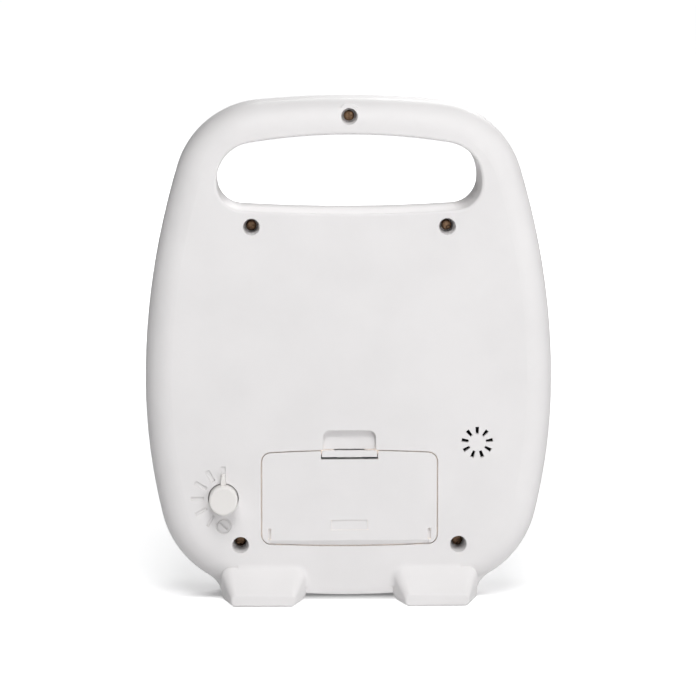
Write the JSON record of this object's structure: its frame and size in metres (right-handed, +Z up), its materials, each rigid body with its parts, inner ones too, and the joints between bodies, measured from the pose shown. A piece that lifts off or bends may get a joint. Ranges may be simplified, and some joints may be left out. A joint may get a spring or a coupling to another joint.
{
  "type": "visual timer",
  "caption": "Free-standing visual countdown timer with a carrying handle, a red disk dial, a setting knob, a volume knob and a battery door at the back.",
  "frame": {"origin": "on the floor under the middle of the timer, midway between the tip of the setting knob and the heels of the feet", "axes": "+X to the right seen from the dial side, +Y to the back, +Z up"},
  "size_m": [0.1394, 0.047, 0.173],
  "materials": {
    "case_plastic": "fine satin moulding, warm white",
    "lens_clear": "clear polished sheet",
    "face_white": "printed matte white",
    "disk_red": "thin matte red sheet",
    "knob_white": "smooth satin",
    "dark_plastic": "moulded, satin",
    "carrier_plastic": "moulded, satin",
    "gear_plastic": "natural nylon",
    "steel": "bright turned",
    "spring_steel": "rolled, bright",
    "rotor_magnet": "ground magnet on a plastic staff",
    "stator_iron": "punched, dull",
    "copper_winding": "enamelled wire",
    "board_green": "solder mask",
    "chip_black": "moulded, dull",
    "nickel": "nickel plate",
    "control_metal": "stamped",
    "foam": "soft foam",
    "cell_wrap": "printed sleeve over steel",
    "pad_rubber": "soft grey rubber",
    "bronze_screw": "yellow-brown plated",
    "zinc_screw": "zinc plated",
    "wire_red": "soft insulation"
  },
  "bodies": {
    "case": {"front_case": "case_plastic", "back_cover": "case_plastic", "lens": "lens_clear", "dial_face": "face_white", "movement_plate": "carrier_plastic", "movement_case": "dark_plastic", "movement_cover": "dark_plastic", "movement_board": "board_green", "quartz_crystal": "nickel", "stator": "stator_iron", "coil": "copper_winding", "sound_board": "board_green", "sound_chip": "chip_black", "volume_control": "control_metal", "speaker": "dark_plastic", "speaker_gasket": "foam", "battery_upper": "cell_wrap", "battery_lower": "cell_wrap", "contact_plus": "nickel", "contact_minus": "nickel", "contact_bridge": "nickel", "foot_pads": "pad_rubber", "case_screws": "bronze_screw", "chassis_screws": "zinc_screw", "movement_screws": "zinc_screw", "board_screws": "zinc_screw", "battery_wires": "wire_red", "speaker_wires": "wire_red", "movement_wires": "wire_red"},
    "dial_knob": {"setting_knob": "knob_white", "spindle": "steel", "clutch_spring": "spring_steel"},
    "red_disk": {"red_disk": "disk_red"},
    "rotor": {"rotor": "rotor_magnet"},
    "first_wheel": {"first_wheel": "gear_plastic"},
    "middle_wheel": {"middle_wheel": "gear_plastic"},
    "clutch_wheel": {"clutch_wheel": "gear_plastic"},
    "volume_knob": {"volume_knob": "knob_white", "volume_shaft": "dark_plastic"},
    "battery_door": {"battery_door": "case_plastic"},
    "door_latch": {"door_latch": "case_plastic"}
  },
  "joints": [
    {"name": "time_setting", "type": "hinge", "parent": "case", "child": "dial_knob", "pos_m": [0, -0.0185, 0.0745], "axis": [0, -1, 0], "range_deg": [-120, 240]},
    {"name": "disk_feed", "type": "slide", "parent": "dial_knob", "child": "red_disk", "axis": [0, -1, 0], "range_m": [-0.00048, 0.00095]},
    {"name": "rotor_turn", "type": "hinge", "parent": "case", "child": "rotor", "pos_m": [0.00756, -0.004, 0.0851], "axis": [0, -1, 0], "continuous": true},
    {"name": "first_wheel_turn", "type": "hinge", "parent": "case", "child": "first_wheel", "pos_m": [-0.00127, -0.0056, 0.0902], "axis": [0, -1, 0], "continuous": true},
    {"name": "middle_wheel_turn", "type": "hinge", "parent": "case", "child": "middle_wheel", "pos_m": [-0.00849, -0.0072, 0.08299], "axis": [0, -1, 0], "continuous": true},
    {"name": "clutch_wheel_turn", "type": "hinge", "parent": "case", "child": "clutch_wheel", "pos_m": [0, -0.0088, 0.0745], "axis": [0, -1, 0], "continuous": true},
    {"name": "volume_setting", "type": "hinge", "parent": "case", "child": "volume_knob", "pos_m": [0.0432, 0.0145, 0.03645], "axis": [0, 1, 0], "range_deg": [0, 180]},
    {"name": "door_swing", "type": "hinge", "parent": "case", "child": "battery_door", "pos_m": [0, 0.0145, 0.0199], "axis": [-1, 0, 0], "range_deg": [0, 85]},
    {"name": "latch_press", "type": "slide", "parent": "battery_door", "child": "door_latch", "axis": [0, 0, 1], "range_m": [-0.0004, 0], "stiffness_N_per_m": 1500}
  ],
  "couplings": [
    {"joint": "disk_feed", "follows": "time_setting", "m_per_rad": 0.00022282},
    {"joint": "first_wheel_turn", "follows": "rotor_turn", "ratio": -0.13333},
    {"joint": "middle_wheel_turn", "follows": "rotor_turn", "ratio": 0.017778},
    {"joint": "clutch_wheel_turn", "follows": "rotor_turn", "ratio": -0.0019753}
  ]
}
